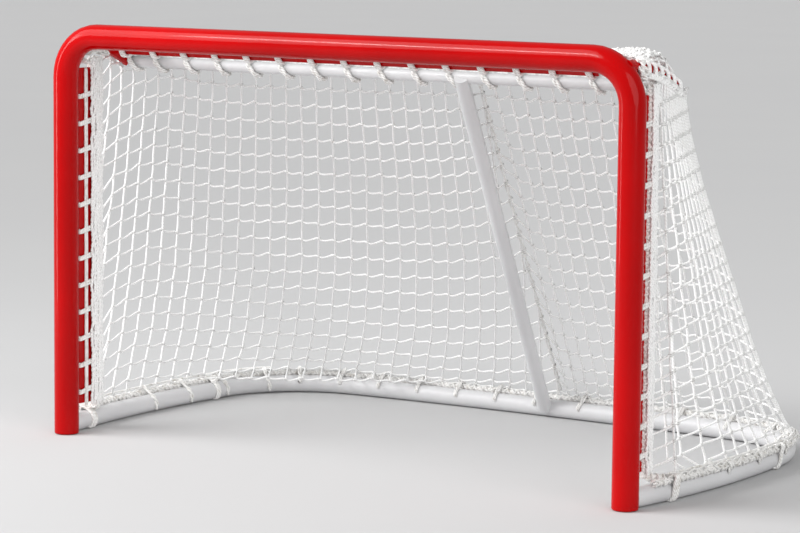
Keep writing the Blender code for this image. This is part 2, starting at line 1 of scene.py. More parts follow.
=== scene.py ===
"""Ice hockey goal: its looks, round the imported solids.

Metres. The mouth faces -Y, X runs along the crossbar and Z is up. Local points have the posts'
plane at y = 0, as the goal's own source does, and are moved to the row frame when a mesh is made.
"""

import math
import random

import bpy
import numpy as np
from mathutils import Matrix, Vector


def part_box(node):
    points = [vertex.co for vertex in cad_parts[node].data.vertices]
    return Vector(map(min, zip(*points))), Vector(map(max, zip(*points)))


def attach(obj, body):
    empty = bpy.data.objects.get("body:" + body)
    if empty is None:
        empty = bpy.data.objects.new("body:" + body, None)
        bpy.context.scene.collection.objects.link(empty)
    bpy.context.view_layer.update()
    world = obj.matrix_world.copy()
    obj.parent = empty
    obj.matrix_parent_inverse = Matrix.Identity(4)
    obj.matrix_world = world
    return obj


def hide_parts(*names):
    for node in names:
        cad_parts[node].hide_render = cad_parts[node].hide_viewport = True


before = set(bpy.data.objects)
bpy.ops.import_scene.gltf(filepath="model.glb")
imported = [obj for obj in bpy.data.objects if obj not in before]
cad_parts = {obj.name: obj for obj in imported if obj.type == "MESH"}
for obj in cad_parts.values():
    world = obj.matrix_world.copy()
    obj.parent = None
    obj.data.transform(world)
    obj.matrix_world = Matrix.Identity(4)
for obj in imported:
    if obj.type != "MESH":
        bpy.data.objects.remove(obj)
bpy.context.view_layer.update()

RANDOM = random.Random(7)
SIDES = ((-1, "left"), (1, "right"))

# Sizes of the solids that the cords lie on
HALF = 0.951
CROSSBAR_Z = 1.1765
BASE_R = 0.027
BASE_DEPTH = 1.075
BASE_BOW = 0.056
BASE_FLARE = 0.025
BASE_CORNER_HALF = 1.003
BASE_CORNER_CUT = 0.312
CORNER_WEIGHT = 0.72
BAR_R = 0.01685
BAR_DEPTH = 0.266
BAR_Z = 1.0924
ARM_X = 0.9318
ARM_START_Z = 1.160
ARM_DROP_POWER = 2.2
STRUT_HEAD_X = 0.263
STRUT_FOOT_X = 0.032
STRIP_X = 0.939
STRIP_THICK = 0.005
STRIP_TOP = 1.0815
HOLE_DEPTH = 0.0466
TOP_STRIP_TILT = math.radians(45)
TOP_HOLE_DEPTH = 0.0453
TOP_ROPE_DEPTH = 0.05945
TOP_ROPE_OUT = 0.0118
ROPE_OUT = 0.0185
BASE_ROPE_Z = 0.0582
POST_ROPE_Y = 0.1135
HEM_Z = 0.0700
NET_FRONT_Y = 0.12665
NET_BACK_Y = 0.2859
NET_SAG = 0.027
TOP_NET_RISE = 0.065

# Where the laces and ties are, as the solids have them
POST_LACES = [0.0700 + 0.0798 * (i + 2 / 3) for i in range(12)]
CROSSBAR_LACES = [0.018 + 0.1117 * (i - 7) for i in range(15)]
SIDE_LACES = [0.451, 0.629, 0.807, 0.985]
LEFT_BACK_LACES = [0.0047 + 0.14337 * i for i in range(7)]
RIGHT_BACK_LACES = [0.154 + 0.174 * i for i in range(5)]
SIDE_TUNNEL_LOW = 0.0135
SIDE_TUNNEL_HIGH = 0.0405
BACK_TUNNEL_Z = 0.036
FOOT_TIE_AT = {-1: 0.113, 1: 0.175}
CORNER_TIE_AT = 0.757
BAR_LACE_SLANT = 0.022
ARM_CORDS_Y = [0.046 + 0.034 * i for i in range(7)]

# The cords' radii
NET_CORD_R = 0.0030
SIDE_CORD_R = 0.0033
TOP_CORD_R = 0.0034
ARM_CORD_R = 0.0036
SEAM_CORD_R = 0.0027
HEM_CORD_R = 0.0034
HEM_LACING_R = 0.0026
LACE_R = 0.0041
CROSSBAR_LACE_R = 0.0050
BAR_LACE_R = 0.0048
POST_CORE_R = 0.0108
BASE_CORE_R = 0.0068
TOP_CORE_R = 0.0070
WRAP_R = 0.0031
TIE_R = 0.0048

# The net's rows and columns, counted on the goal in the picture
BACK_ROWS = 19.5
LEFT_COLUMNS = 28
RIGHT_COLUMNS = 14
SIDE_COLUMNS = 17
RIGHT_CORNER_FOOT = 0.73
RIGHT_FOOT_POWER = 1.25
SIDE_SLOPE_LOW = 0.38
SIDE_SLOPE_RISE = 0.19
SEAM_BESIDE_STRUT = 0.035
SEAM_RISE = 0.055
HEM_CLOSING = 0.033
# Every second knot is this much higher, and each is this far off its place
LEFT_STAGGER = 0.0026
BACK_STAGGER = 0.0022
SIDE_STAGGER = 0.0012
KNOT_JITTER = 0.0012
# The left net's columns in the picture: pixels right of its middle, as a cubic of a tenth of the
# column's number, at each of these heights in pixels below the middle
COLUMN_DOWN = (-179.5, -83.5, -1.5, 63.5, 121.5)
COLUMN_CUBICS = (
    (-6.51, 23.96, 119.97, -266.30),
    (-7.08, 26.56, 126.34, -274.52),
    (-5.01, 20.54, 136.99, -282.75),
    (-6.35, 27.28, 132.03, -290.32),
    (-5.70, 29.42, 125.91, -299.91),
)
SEEN_COLUMNS = range(-3, 31)
TOP_ROWS = 6
TOP_COLUMNS = 44

# Camera, solved from the tubes' edges in the photograph
CAMERA = (4.8235, -6.8334, 1.5791)
CAMERA_TURNS = (0.5915, 0.1199, 0.0104)  # yaw, pitch and roll
FOCAL_PIXELS = 3040.6
PICTURE_WIDTH = 800
SENSOR = 36.0

foot_low, foot_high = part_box("post_foot_left")
POST_Y = (foot_low.y + foot_high.y) / 2


def clamp(t):
    return min(max(t, 0.0), 1.0)


def smooth(t):
    t = clamp(t)
    return t * t * (3 - 2 * t)


def unit(v):
    return v / (np.linalg.norm(v, axis=-1, keepdims=True) + 1e-12)


def heading(paths, closed=False):
    """The way that each path goes at each of its points."""
    if closed:
        return unit(np.roll(paths, -1, axis=-2) - np.roll(paths, 1, axis=-2))
    return unit(np.gradient(paths, axis=-2))


def lengths(line):
    """How far along a line each of its points is."""
    return np.concatenate([[0.0], np.cumsum(np.linalg.norm(np.diff(line, axis=0), axis=1))])


def jitter(most, count=3):
    return np.array([RANDOM.uniform(-most, most) for _ in range(count)])


def add_object(name, data):
    made = bpy.data.objects.new(name, data)
    bpy.context.scene.collection.objects.link(made)
    return made


class Cords:
    """Gathers round cords into one mesh. A face's UV is (turns of twist along, turn around)."""

    def __init__(self):
        self.points, self.quads, self.uvs, self.kinds = [], [], [], []
        self.count = 0

    def rings(self, paths, normals, radii, sides, closed=False, kind=0):
        """paths, normals: (m, n, 3). radii: (m, n) or a number. kind 1 is a knot."""
        paths = np.asarray(paths, float)
        m, n, _ = paths.shape
        radii = np.broadcast_to(np.asarray(radii, float), (m, n))
        ahead = heading(paths, closed)
        normals = np.broadcast_to(np.asarray(normals, float), paths.shape)
        across = unit(normals - ahead * np.sum(normals * ahead, axis=2, keepdims=True))
        third = np.cross(ahead, across)
        angle = (np.arange(sides) * 2 * np.pi / sides)[:, None]
        ring = across[:, :, None] * np.cos(angle) + third[:, :, None] * np.sin(angle)
        points = paths[:, :, None] + ring * radii[:, :, None, None]
        step = np.linalg.norm(np.diff(paths, axis=1), axis=2)
        far = np.concatenate([np.zeros((m, 1)), np.cumsum(step, axis=1)], axis=1)
        turns = far / (6 * radii.mean())
        last = n if closed else n - 1
        i = np.arange(m)[:, None, None]
        j = np.arange(last)[None, :, None]
        k = np.arange(sides)[None, None, :]
        after = (j + 1) % n
        nextk = (k + 1) % sides

        def index(row, side):
            return self.count + (i * n + row) * sides + side

        corners = index(j, k), index(j, nextk), index(after, nextk), index(after, k)
        quads = np.stack(np.broadcast_arrays(*corners), -1)
        u0 = np.broadcast_to(turns[:, :last, None], (m, last, sides))
        step_u = np.zeros((m, last))
        step_u[:, : n - 1] = np.diff(turns, axis=1)
        if closed:
            step_u[:, -1] = step_u[:, :-1].mean()
        u1 = u0 + step_u[:, :, None]
        v0 = np.broadcast_to(k / sides, (m, last, sides))
        v1 = v0 + 1 / sides
        uv = np.stack([np.stack(c, -1) for c in ((u0, v0), (u0, v1), (u1, v1), (u1, v0))], axis=-2)
        self.points.append(points.reshape(-1, 3))
        self.quads.append(quads.reshape(-1, 4))
        self.uvs.append(uv.reshape(-1, 2))
        self.kinds.append(np.full(m * last * sides, kind, np.int32))
        self.count += m * n * sides

    def one(self, path, radius, sides, closed=False):
        """One cord along a path, its rings carried along without twist and its ends narrowed."""
        path = np.asarray(path, float)
        ahead = heading(path, closed)
        normal = np.cross(ahead[0], (0.31, 0.17, 0.93))
        if np.linalg.norm(normal) < 0.1:
            normal = np.cross(ahead[0], (1.0, 0.0, 0.0))
        normals = []
        for way in ahead:
            normal = unit(normal - way * normal.dot(way))
            normals.append(normal)
        radii = np.full(len(path), float(radius))
        if not closed:
            radii[[0, -1]] = radius * 0.25
            radii[[1, -2]] *= 0.9
        self.rings(path[None], np.array(normals)[None], radii[None], sides, closed)

    def make(self, name, material, slot, *nodes):
        """Makes the mesh, which takes the place of the named nodes."""
        points = np.concatenate(self.points)
        points[:, 1] += POST_Y
        quads = np.concatenate(self.quads).astype(np.int32)
        uvs = np.concatenate(self.uvs).astype(np.float32)
        kinds = np.concatenate(self.kinds)
        mesh = bpy.data.meshes.new(name)
        mesh.vertices.add(len(points))
        mesh.vertices.foreach_set("co", points.astype(np.float32).ravel())
        mesh.loops.add(quads.size)
        mesh.loops.foreach_set("vertex_index", quads.ravel())
        mesh.polygons.add(len(quads))
        mesh.polygons.foreach_set("loop_start", np.arange(0, quads.size, 4, dtype=np.int32))
        mesh.update(calc_edges=True)
        mesh.uv_layers.new(name="cord").data.foreach_set("uv", uvs.ravel())
        mesh.polygons.foreach_set("use_smooth", np.ones(len(quads), bool))
        mesh.materials.append(material)
        if kinds.any():
            # knots take the darker cord material, painted shade
            mesh.materials.append(KNOT_PAINTED_SHADE)
            mesh.polygons.foreach_set("material_index", kinds)
        mesh.validate()
        piece = add_object(name, mesh)
        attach(piece, "root")
        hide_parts(*nodes)


def spline(points, per, closed=False):
    """A smooth path through the points (Catmull-Rom)."""
    p = np.asarray(points, float)
    if closed:
        p = np.concatenate([p[-1:], p, p[:2]])
    else:
        p = np.concatenate([2 * p[:1] - p[1:2], p, 2 * p[-1:] - p[-2:-1]])
    a, b, c, d = (p[k : len(p) - 3 + k, None] for k in range(4))
    t = (np.arange(per) / per)[:, None]
    path = 2 * b + (c - a) * t + (2 * a - 5 * b + 4 * c - d) * t**2 + (3 * b - a - 3 * c + d) * t**3
    path = 0.5 * path.reshape(-1, p.shape[1])
    return path if closed else np.concatenate([path, p[-2:-1]])


# The base tube's centre line, as the solids have it


def base_half():
    start = Vector((HALF, 0.0))
    knee = Vector((BASE_CORNER_HALF, BASE_DEPTH))
    along = (start - knee).normalized()
    side_end = knee + along * BASE_CORNER_CUT
    back_x = BASE_CORNER_HALF - BASE_CORNER_CUT

    def back(x):
        return Vector((x, BASE_DEPTH + BASE_BOW * (1 - (x / BASE_CORNER_HALF) ** 2)))

    back_start = back(back_x)
    slope = Vector((-1.0, 2 * BASE_BOW * back_x / BASE_CORNER_HALF**2)).normalized()
    reach = (back_start - side_end).cross(slope) / along.cross(slope)
    control = side_end + along * reach
    points = []
    for i in range(33):
        u = i / 32
        point = start.lerp(side_end, u)
        point.x += BASE_FLARE * 4 * u * (1 - u)
        points.append(point)
    for i in range(1, 33):
        u = i / 32
        ends = (1 - u) ** 2 * side_end + u**2 * back_start
        middle = 2 * CORNER_WEIGHT * u * (1 - u)
        points.append((ends + middle * control) / ((1 - u) ** 2 + u**2 + middle))
    for i in range(1, 25):
        points.append(back(back_x * (1 - i / 24)))
    return np.array([(p.x, p.y) for p in points])


BASE_LINE = base_half()
BASE_AT = lengths(BASE_LINE)
BASE_LENGTH = BASE_AT[-1]
CORNER_AT = BASE_AT[48]
BACK_SPAN = BASE_LENGTH - CORNER_AT


def base_point(want, side):
    """A point of the base centre line this far from a post. Past the middle it goes on."""
    if want > BASE_LENGTH:
        want = 2 * BASE_LENGTH - want
        side = -side
    x, y = (np.interp(want, BASE_AT, BASE_LINE[:, k]) for k in (0, 1))
    return np.array((side * x, y))


def base_inward(want, side):
    ahead = base_point(want + 0.01, side) - base_point(max(want - 0.01, 0.0), side)
    return unit(np.array((-ahead[1], ahead[0])) * side)


def base_section(want, side, inward, height):
    """A point beside the base tube: inward from its centre line, at a height."""
    x, y = base_point(want, side) + base_inward(want, side) * inward
    return np.array((x, y, height))


def arm_height(y):
    return ARM_START_Z - (ARM_START_Z - BAR_Z) * clamp(y / BAR_DEPTH) ** ARM_DROP_POWER


# Where the net lies

NET_TOP_X = ARM_X + BAR_R + NET_CORD_R
SEAM_TOP_X = STRUT_HEAD_X + SEAM_BESIDE_STRUT
SEAM_FOOT = STRUT_FOOT_X + SEAM_BESIDE_STRUT
NET_TOP_Z = BAR_Z - 0.003
ARM_RUN = NET_BACK_Y - NET_FRONT_Y


def down_back(z):
    """How far down the back net a height is, from 0 at the bar to 1 at the hem."""
    return clamp((NET_TOP_Z - z) / (NET_TOP_Z - HEM_Z))


def across_back(share):
    """(x at the bar, length along the base from its middle) at this share, from -1 to 1."""
    seam = np.array((SEAM_TOP_X, SEAM_FOOT))
    end = np.array((NET_TOP_X, BACK_SPAN)) * (-1 if share < 0 else 1)
    return seam + (end - seam) * abs(share)


def sag(side, share, v):
    drawn = NET_SAG * share * (1 - (2 * v - 1) ** 4)
    return np.array((-side * drawn, -drawn, 0.0))


def back_foot(along):
    """The hem behind the back of the base tube, this far along it from its middle."""
    return base_section(BASE_LENGTH - abs(along), 1 if along >= 0 else -1, -ROPE_OUT, HEM_Z)


def back_place(share, v):
    x, along = across_back(share)
    top = np.array((x, NET_BACK_Y, NET_TOP_Z))
    drawn = sag(1 if along >= 0 else -1, abs(along / BACK_SPAN) ** 3, v)
    return top + (back_foot(along) - top) * v + drawn


def side_foot(want, side):
    on_rope = base_section(want, side, -ROPE_OUT, HEM_Z)
    behind = np.array((side * STRIP_X, want, HEM_Z))
    return behind + (on_rope - behind) * clamp((want - NET_FRONT_Y) / 0.05)


def side_place(side, u, v):
    y = NET_FRONT_Y + ARM_RUN * u
    top = np.array((side * NET_TOP_X, y, arm_height(y)))
    foot = side_foot(NET_FRONT_Y + (CORNER_AT - NET_FRONT_Y) * u, side)
    point = top + (foot - top) * v + sag(side, u, v)
    upright = max(1 - 3 * u, 0.0) * min(9 * v, 1.0)
    point[0] += (side * STRIP_X - point[0]) * upright
    return point


def skin_line(side, z):
    """The net at this height, seen from above: from the post round the corner to the seam."""
    line = []
    for u in (0, 0.1, 0.2, 0.35, 0.5, 0.65, 0.8, 0.9, 1.0):
        top = arm_height(NET_FRONT_Y + ARM_RUN * u)
        line.append(side_place(side, u, clamp((top - z) / (top - HEM_Z)))[:2])
    for share in (0.95, 0.87, 0.75, 0.6, 0.45, 0.3, 0.15, 0.0):
        line.append(back_place(side * share, down_back(z))[:2])
    return np.array(line)


def camera_axes():
    """The camera's right, up and forward."""
    (cy, cp, cr), (sy, sp, sr) = np.cos(CAMERA_TURNS), np.sin(CAMERA_TURNS)
    forward = np.array((-sy * cp, cy * cp, -sp))
    level = np.array((cy, sy, 0.0))
    upright = np.cross(level, forward)
    return cr * level + sr * upright, cr * upright - sr * level, forward


RIGHT, UP, FORWARD = camera_axes()


def seen(point):
    """Where the camera sees a point, in pixels right of and below the picture's middle."""
    away = np.asarray(point) - CAMERA
    return np.array((away.dot(RIGHT), -away.dot(UP))) * FOCAL_PIXELS / away.dot(FORWARD)


CORNER_WAY = np.array((-0.60, 0.80))
CORNER_DROP = 0.105
CORNER_REACH = (-0.06, 0.30)


def pushed_out(point, side):
    """Moves a point of a net drawn straight across the corner out to where the net hangs."""
    line = skin_line(side, point[2])
    start, along = line[:-1], np.diff(line, axis=0)
    away = start - point[:2]
    way = CORNER_WAY * np.array((-side, 1.0))

    def cross(a, b):
        return a[..., 0] * b[..., 1] - a[..., 1] * b[..., 0]

    turn = cross(way, along)
    turn = np.where(np.abs(turn) < 1e-6, 1e-6, turn)
    reach, share = cross(away, along) / turn, cross(away, way) / turn
    met = (share > -0.03) & (share < 1.03)
    if not met.any():
        return point
    reach = reach[np.argmin(np.where(met, np.abs(reach), np.inf))]
    reach = min(max(reach, CORNER_REACH[0]), CORNER_REACH[1])
    drop = CORNER_DROP * max(reach, 0.0) * (CAMERA[2] - point[2])
    return point + np.array((way[0] * reach, way[1] * reach, -drop))


def at_height(top, foot, z):
    """The point at this height on a column drawn straight from its top to its foot."""
    return top + (foot - top) * (top[2] - z) / (top[2] - foot[2])


# The left net: one sheet of netting from the post round the corner to the seam

TOP_RUN = ARM_RUN + NET_TOP_X + SEAM_TOP_X
FOOT_MIDDLE = (9.6, 0.600)
FOOT_PITCH = 0.073
FOOT_WIDENS = 0.000243


def fan_top(at):
    run = TOP_RUN * (at + 0.23) / (LEFT_COLUMNS + 0.23)
    if run < ARM_RUN:
        y = NET_FRONT_Y + run
        return np.array((-NET_TOP_X, y, arm_height(y)))
    return np.array((-NET_TOP_X + run - ARM_RUN, NET_BACK_Y, NET_TOP_Z))


def fan_foot(at):
    from_middle = at - FOOT_MIDDLE[0]
    want = FOOT_MIDDLE[1] + FOOT_PITCH * from_middle + FOOT_WIDENS * from_middle**2
    return side_foot(max(want, 0.02), -1) if want < CORNER_AT else back_foot(want - BASE_LENGTH)


def fan_drift(column, v):
    """The columns swing towards the strut as they go down, counted in columns."""
    if column < 10:
        most = 0.8 + 0.035 * column
    else:
        most = 1.15 * (1 - ((column - 10) / (LEFT_COLUMNS - 10)) ** 2)
    return most * math.sin(math.pi / 2 * min(v / 0.62, 1.0))


def row_offset(at, v):
    """How far a row is off the level at this place: low by the post, high by the seam."""
    low = -0.13 * math.exp(-max(at, 0.0) / 1.9) * (1 - 0.45 * v)
    hump = 0.020 * math.exp(-(((at - 6.2) / 2.2) ** 2))
    fall = -0.020 * min(v / 0.6, 1.0) * smooth((at - 8) / 7)
    rise = (SEAM_RISE + 0.01) * math.exp(-(LEFT_COLUMNS - at) / 3.2) * min(v / 0.3, 1.0)
    return low + hump + fall + rise


def closing(z, strength):
    """The lowest rows close up towards the hem."""
    return -HEM_CLOSING * strength * math.sin(math.pi * down_back(z) ** 4.3)


ROW_PITCH = (NET_TOP_Z - HEM_Z) / BACK_ROWS
# A row this near below the net's top, or past it, ends there, and so does one near the hem
TOP_NEAR = 0.25 * ROW_PITCH
TOP_PAST = 0.75 * ROW_PITCH
HEM_NEAR = HEM_Z + 0.2 * ROW_PITCH


def left_rows():
    """The left net's rows, each from the post rope round the corner to the seam."""
    rows, ended = {}, set()
    front = NET_FRONT_Y + 0.004
    for j in range(-3, int(BACK_ROWS) + 2):
        level = NET_TOP_Z - j * ROW_PITCH
        v = down_back(level)
        z = level + row_offset(0.0, v) * 0.9
        line = [np.array((-STRIP_X, POST_ROPE_Y + 0.006, z))] if j > 0 and z > HEM_Z else []
        for i in range(LEFT_COLUMNS + 1):
            column = 0.56 + (LEFT_COLUMNS - 0.56) * i / LEFT_COLUMNS
            at = column + fan_drift(column, v)
            z = level + row_offset(at, v)
            z += closing(z, smooth((at - 9) / 8))
            top, foot = fan_top(at), fan_foot(at)
            if z > top[2] - TOP_NEAR:
                if j >= 0 or z < top[2] + TOP_PAST:
                    line.append(fan_top(column))
                continue
            if i in ended:
                continue
            ends_low = z < HEM_NEAR
            point = at_height(top, foot, max(z, HEM_Z))
            if ends_low or point[1] < front:
                ended.add(i)
            if point[1] >= front:
                line.append(point if ends_low else pushed_out(point, -1))
        rows[j] = line
    return rows


def column_sight(at, down):
    """How far right of the picture's middle this column is seen, this far below the middle."""
    across = [np.polyval(cubic, at / 10) for cubic in COLUMN_CUBICS]
    return np.interp(down, COLUMN_DOWN, across)


def on_column(line, at):
    """Where a line of points crosses a column as the picture shows it."""
    shown = np.array([seen(p) for p in line])
    off = shown[:, 0] - column_sight(at, shown[:, 1])
    for k in range(len(line) - 1):
        if off[k] <= 0 < off[k + 1]:
            return line[k] + (line[k + 1] - line[k]) * off[k] / (off[k] - off[k + 1])
    return None


def left_grid():
    grid = {}
    rows = {j: line for j, line in left_rows().items() if len(line) > 1}
    ends = np.linspace(0.5, LEFT_COLUMNS, 60)
    top_line = [fan_top(at) for at in ends]
    foot_line = [p for p in map(fan_foot, ends) if p[1] > NET_FRONT_Y]
    for j, line in rows.items():
        met = [(at, p) for at in SEEN_COLUMNS if (p := on_column(line, at)) is not None]
        for at, point in met:
            stagger = LEFT_STAGGER if (at + j) % 2 else -LEFT_STAGGER
            grid[(at, j)] = point + (0, 0, stagger) + jitter(KNOT_JITTER)
        if met:
            grid[(met[0][0] - 1, j)] = line[0]
            grid[(met[-1][0] + 1, j)] = line[-1]
    for at in SEEN_COLUMNS:
        column = sorted(j for i, j in grid if i == at)
        if not column:
            continue
        for j, edge in ((column[0] - 1, top_line), (column[-1] + 1, foot_line)):
            end = on_column(edge, at)
            near = grid[(at, column[0] if j < column[0] else column[-1])]
            if end is not None and np.linalg.norm(end - near) > 0.2 * ROW_PITCH:
                grid[(at, j)] = end
    return grid


# The right net: back panel from the seam, then a fan from the arm to the base


def right_top(at):
    """Top of the right net's column: the seam is 0, the rear corner RIGHT_COLUMNS."""
    if at <= RIGHT_COLUMNS:
        x = SEAM_TOP_X + (NET_TOP_X - SEAM_TOP_X) * at / RIGHT_COLUMNS
        return np.array((x, NET_BACK_Y, NET_TOP_Z))
    y = NET_BACK_Y - ARM_RUN * (at - RIGHT_COLUMNS) / SIDE_COLUMNS
    return np.array((NET_TOP_X, y, arm_height(y) - 0.012))


def right_foot(at):
    if at <= RIGHT_COLUMNS:
        share = (at / RIGHT_COLUMNS) ** RIGHT_FOOT_POWER
        return back_foot(SEAM_FOOT + (RIGHT_CORNER_FOOT - SEAM_FOOT) * share)
    corner = BASE_LENGTH - RIGHT_CORNER_FOOT
    want = corner + (NET_FRONT_Y - corner) * (at - RIGHT_COLUMNS) / SIDE_COLUMNS
    return back_foot(BASE_LENGTH - want) if want > CORNER_AT else side_foot(want, 1)


def side_row_level(at, corner, slope):
    """The height at which a side row that starts from the corner's knot looks straight."""
    top, foot = right_top(at), right_foot(at)
    start = seen(corner)
    low, high = -0.6, top[2]
    for _ in range(13):
        z = (low + high) / 2
        gap = seen(pushed_out(at_height(top, foot, z), 1)) - start
        if gap[1] > -slope * gap[0]:
            low = z
        else:
            high = z
    return z


def right_level(at, z):
    """How far a row is off the back's level: raised by the seam, falling towards the post."""
    v = down_back(z)
    if at <= RIGHT_COLUMNS:
        return SEAM_RISE * math.exp(-at / 0.9) * min(v / 0.3, 1.0)
    both = (at, RIGHT_COLUMNS)
    here, corner = (right_top(k) + (right_foot(k) - right_top(k)) * v for k in both)
    fall = 0.07 + 0.11 * clamp(z / 0.35) + 0.05 * max(z, 0.0)
    return -fall * float(np.linalg.norm((here - corner)[:2]))


def right_grid():
    grid = {}
    last = RIGHT_COLUMNS + SIDE_COLUMNS
    corner_at = RIGHT_COLUMNS + 3
    corner_top, corner_foot = right_top(corner_at), right_foot(corner_at)
    for i in range(last + 1):
        top, foot = right_top(i), right_foot(i)
        for j in range(-4, int(BACK_ROWS) + 2):
            z = NET_TOP_Z - j * ROW_PITCH
            if i > corner_at:
                z += right_level(corner_at, z)
                corner = pushed_out(at_height(corner_top, corner_foot, z), 1)
                z = side_row_level(i, corner, SIDE_SLOPE_LOW + SIDE_SLOPE_RISE * clamp(z / 0.45))
            else:
                z += right_level(i, z)
            z += closing(z, 1.0 if i < RIGHT_COLUMNS else 0.0)
            if z > top[2] - TOP_NEAR:
                if z < top[2] + TOP_PAST or (j == 0 and i <= RIGHT_COLUMNS):
                    grid[(i, j)] = top
                continue
            ends_low = z < HEM_NEAR
            point = at_height(top, foot, max(z, HEM_Z))
            if 0 < i < last and not ends_low:
                stagger = BACK_STAGGER if i < RIGHT_COLUMNS else SIDE_STAGGER
                point[2] += stagger if (i + j) % 2 else -stagger
                point += jitter(KNOT_JITTER)
            if i > 1 and not ends_low:
                point = pushed_out(point, 1)
            grid[(i, j)] = point
            if ends_low:
                break
    return grid


# The top panel

TOP_OUT = np.array((0, math.cos(TOP_STRIP_TILT), -math.sin(TOP_STRIP_TILT)))
TOP_ACROSS = np.array((0, math.sin(TOP_STRIP_TILT), math.cos(TOP_STRIP_TILT)))
CROSSBAR = np.array((0, 0, CROSSBAR_Z))
TOP_ROPE = CROSSBAR + TOP_OUT * TOP_ROPE_DEPTH + TOP_ACROSS * TOP_ROPE_OUT
TOP_NET_FRONT = TOP_ROPE + np.array((0, 0.0115, 0.002))
TOP_NET_BACK = np.array((0, BAR_DEPTH + 0.0084, BAR_Z + 0.018))
WRAP_START = ARM_X - 0.040
TOP_HALF = NET_TOP_X + 0.035


def top_place(x, v):
    """Domed between the crossbar and the rear bar, and turned down over the arms."""
    line = TOP_NET_FRONT + (TOP_NET_BACK - TOP_NET_FRONT) * v
    on_arm = smooth((abs(x) - ARM_X + 0.13) / 0.09)
    line[1] -= ((TOP_NET_FRONT[1] - 0.038) * (1 - v) + 0.012 * v) * on_arm
    rise = TOP_NET_RISE * math.sin(math.pi * v**1.15)
    high = line[2] + rise
    over_arm = max(high, arm_height(line[1]) + BAR_R + 0.006)
    high += (over_arm - high) * on_arm
    point = np.array((x, line[1], high))
    beyond = abs(x) - WRAP_START
    if beyond > 0:
        side = 1 if x > 0 else -1
        turn = min(beyond / (TOP_HALF - WRAP_START), 1.0) * math.pi / 2
        low = arm_height(line[1]) - 0.020
        point[0] = side * (WRAP_START + (NET_TOP_X + 0.003 - WRAP_START) * math.sin(turn) ** 0.9)
        point[2] = low + (point[2] - low) * math.cos(turn) ** 0.75
    return point


def top_grid():
    grid = {}
    for i in range(TOP_COLUMNS + 1):
        x = -TOP_HALF + 2 * TOP_HALF * i / TOP_COLUMNS
        for j in range(TOP_ROWS + 1):
            p = top_place(x, j / TOP_ROWS)
            if 0 < j < TOP_ROWS:
                p += jitter(0.0018)
                p[0] += 0.0015 if (i + j) % 2 else -0.0015
            grid[(i, j)] = p
    return grid


def gathered_grid(side):
    """The slack netting bunched up along the top of an arm, over the top panel."""
    grid = {}
    for i in range(10):
        x = side * (ARM_X - 0.105 + 0.0115 * i)
        for j in range(15):
            grid[(i, j)] = top_place(x, j / 14) + jitter(0.003) + (0, 0, 0.003)
    return grid


# How the netting is made


def knots(cords, places, upward, outward, size):
    """A small knot at each place: a cord's one and a half turns round the upright strand."""
    places, upward, outward = np.array(places), np.array(upward), np.array(outward)
    t = np.linspace(0, 1, 10)[:, None]
    angle = t * 2 * math.pi * 1.55
    path = (
        places[:, None]
        + np.cross(upward, outward)[:, None] * np.cos(angle) * size
        + outward[:, None] * np.sin(angle) * size * 0.85
        + upward[:, None] * (t - 0.5) * size * 2.6
    )
    cords.rings(path, upward[:, None], size * 0.95, 5, kind=1)


def neighbours(grid, axis, most):
    """Pairs of knots next to each other along a row (axis 0) or a column (axis 1)."""
    lines = {}
    for key in grid:
        lines.setdefault(key[1 - axis], []).append(key)
    for line in sorted(lines):
        keys = sorted(lines[line], key=lambda k: k[axis])
        for a, b in zip(keys, keys[1:]):
            apart = np.linalg.norm(grid[a] - grid[b])
            if b[axis] - a[axis] <= most and apart > 0.003:
                yield a, b


def way_on(grid, p, after, before):
    """From the knot at p to the one after it or, without one, from the one before it."""
    if after in grid:
        return grid[after] - p
    return p - grid[before] if before in grid else np.zeros(3)


def build_net(cords, grid, slack, cord_r=NET_CORD_R, step=0.0022):
    """grid: {(column, row): point}. Level strands sag and step at each knot, upright ones don't."""
    level, upright = [], []
    t = np.linspace(0, 1, 7)[:, None]
    shape = np.array((0.0, 1.0, 1.25, 1.05, 0.65, 0.15, 0.0))
    skew = np.array((0.0, -1.0, -0.8, -0.3, 0.4, 1.0, 0.0))
    for a, b in neighbours(grid, 0, 3):
        p, q = grid[a], grid[b]
        path = p + (q - p) * t
        steep = abs(p[2] - q[2]) > 0.6 * abs(q[0] - p[0]) + 0.6 * abs(q[1] - p[1])
        if a[0] >= 0 and not steep:
            path[:, 2] += -shape * slack * RANDOM.uniform(0.75, 1.25) + skew * step
        level.append(path)
    for a, b in neighbours(grid, 1, 1):
        path = grid[a] + (grid[b] - grid[a]) * np.linspace(0, 1, 4)[:, None]
        path[1:3, 0] += jitter(KNOT_JITTER, 1)
        upright.append(path)
    cords.rings(level, (0.05, 0.1, 1.0), cord_r, 6)
    cords.rings(upright, (0.1, 1.0, 0.1), cord_r, 6)
    places, ups, outs = [], [], []
    for (i, j), p in sorted(grid.items()):
        across = way_on(grid, p, (i + 1, j), (i - 1, j))
        along = -way_on(grid, p, (i, j + 1), (i, j - 1))
        if min(np.linalg.norm(across), np.linalg.norm(along)) >= 0.004:
            places.append(p)
            ups.append(unit(along))
            outs.append(unit(np.cross(ups[-1], unit(across))))
    knots(cords, places, ups, outs, cord_r)


# (out from the strip's middle, y) of the strands bunched on the post ropes
EDGE_STRANDS = (
    (-0.0145, 0.088), (-0.0150, 0.098), (-0.0150, 0.108), (-0.0145, 0.118), (-0.011, 0.128),
    (-0.007, 0.138), (0.0150, 0.107), (0.0150, 0.116), (0.0145, 0.125), (0.012, 0.134),
    (0.008, 0.143), (0.001, 0.151),
)


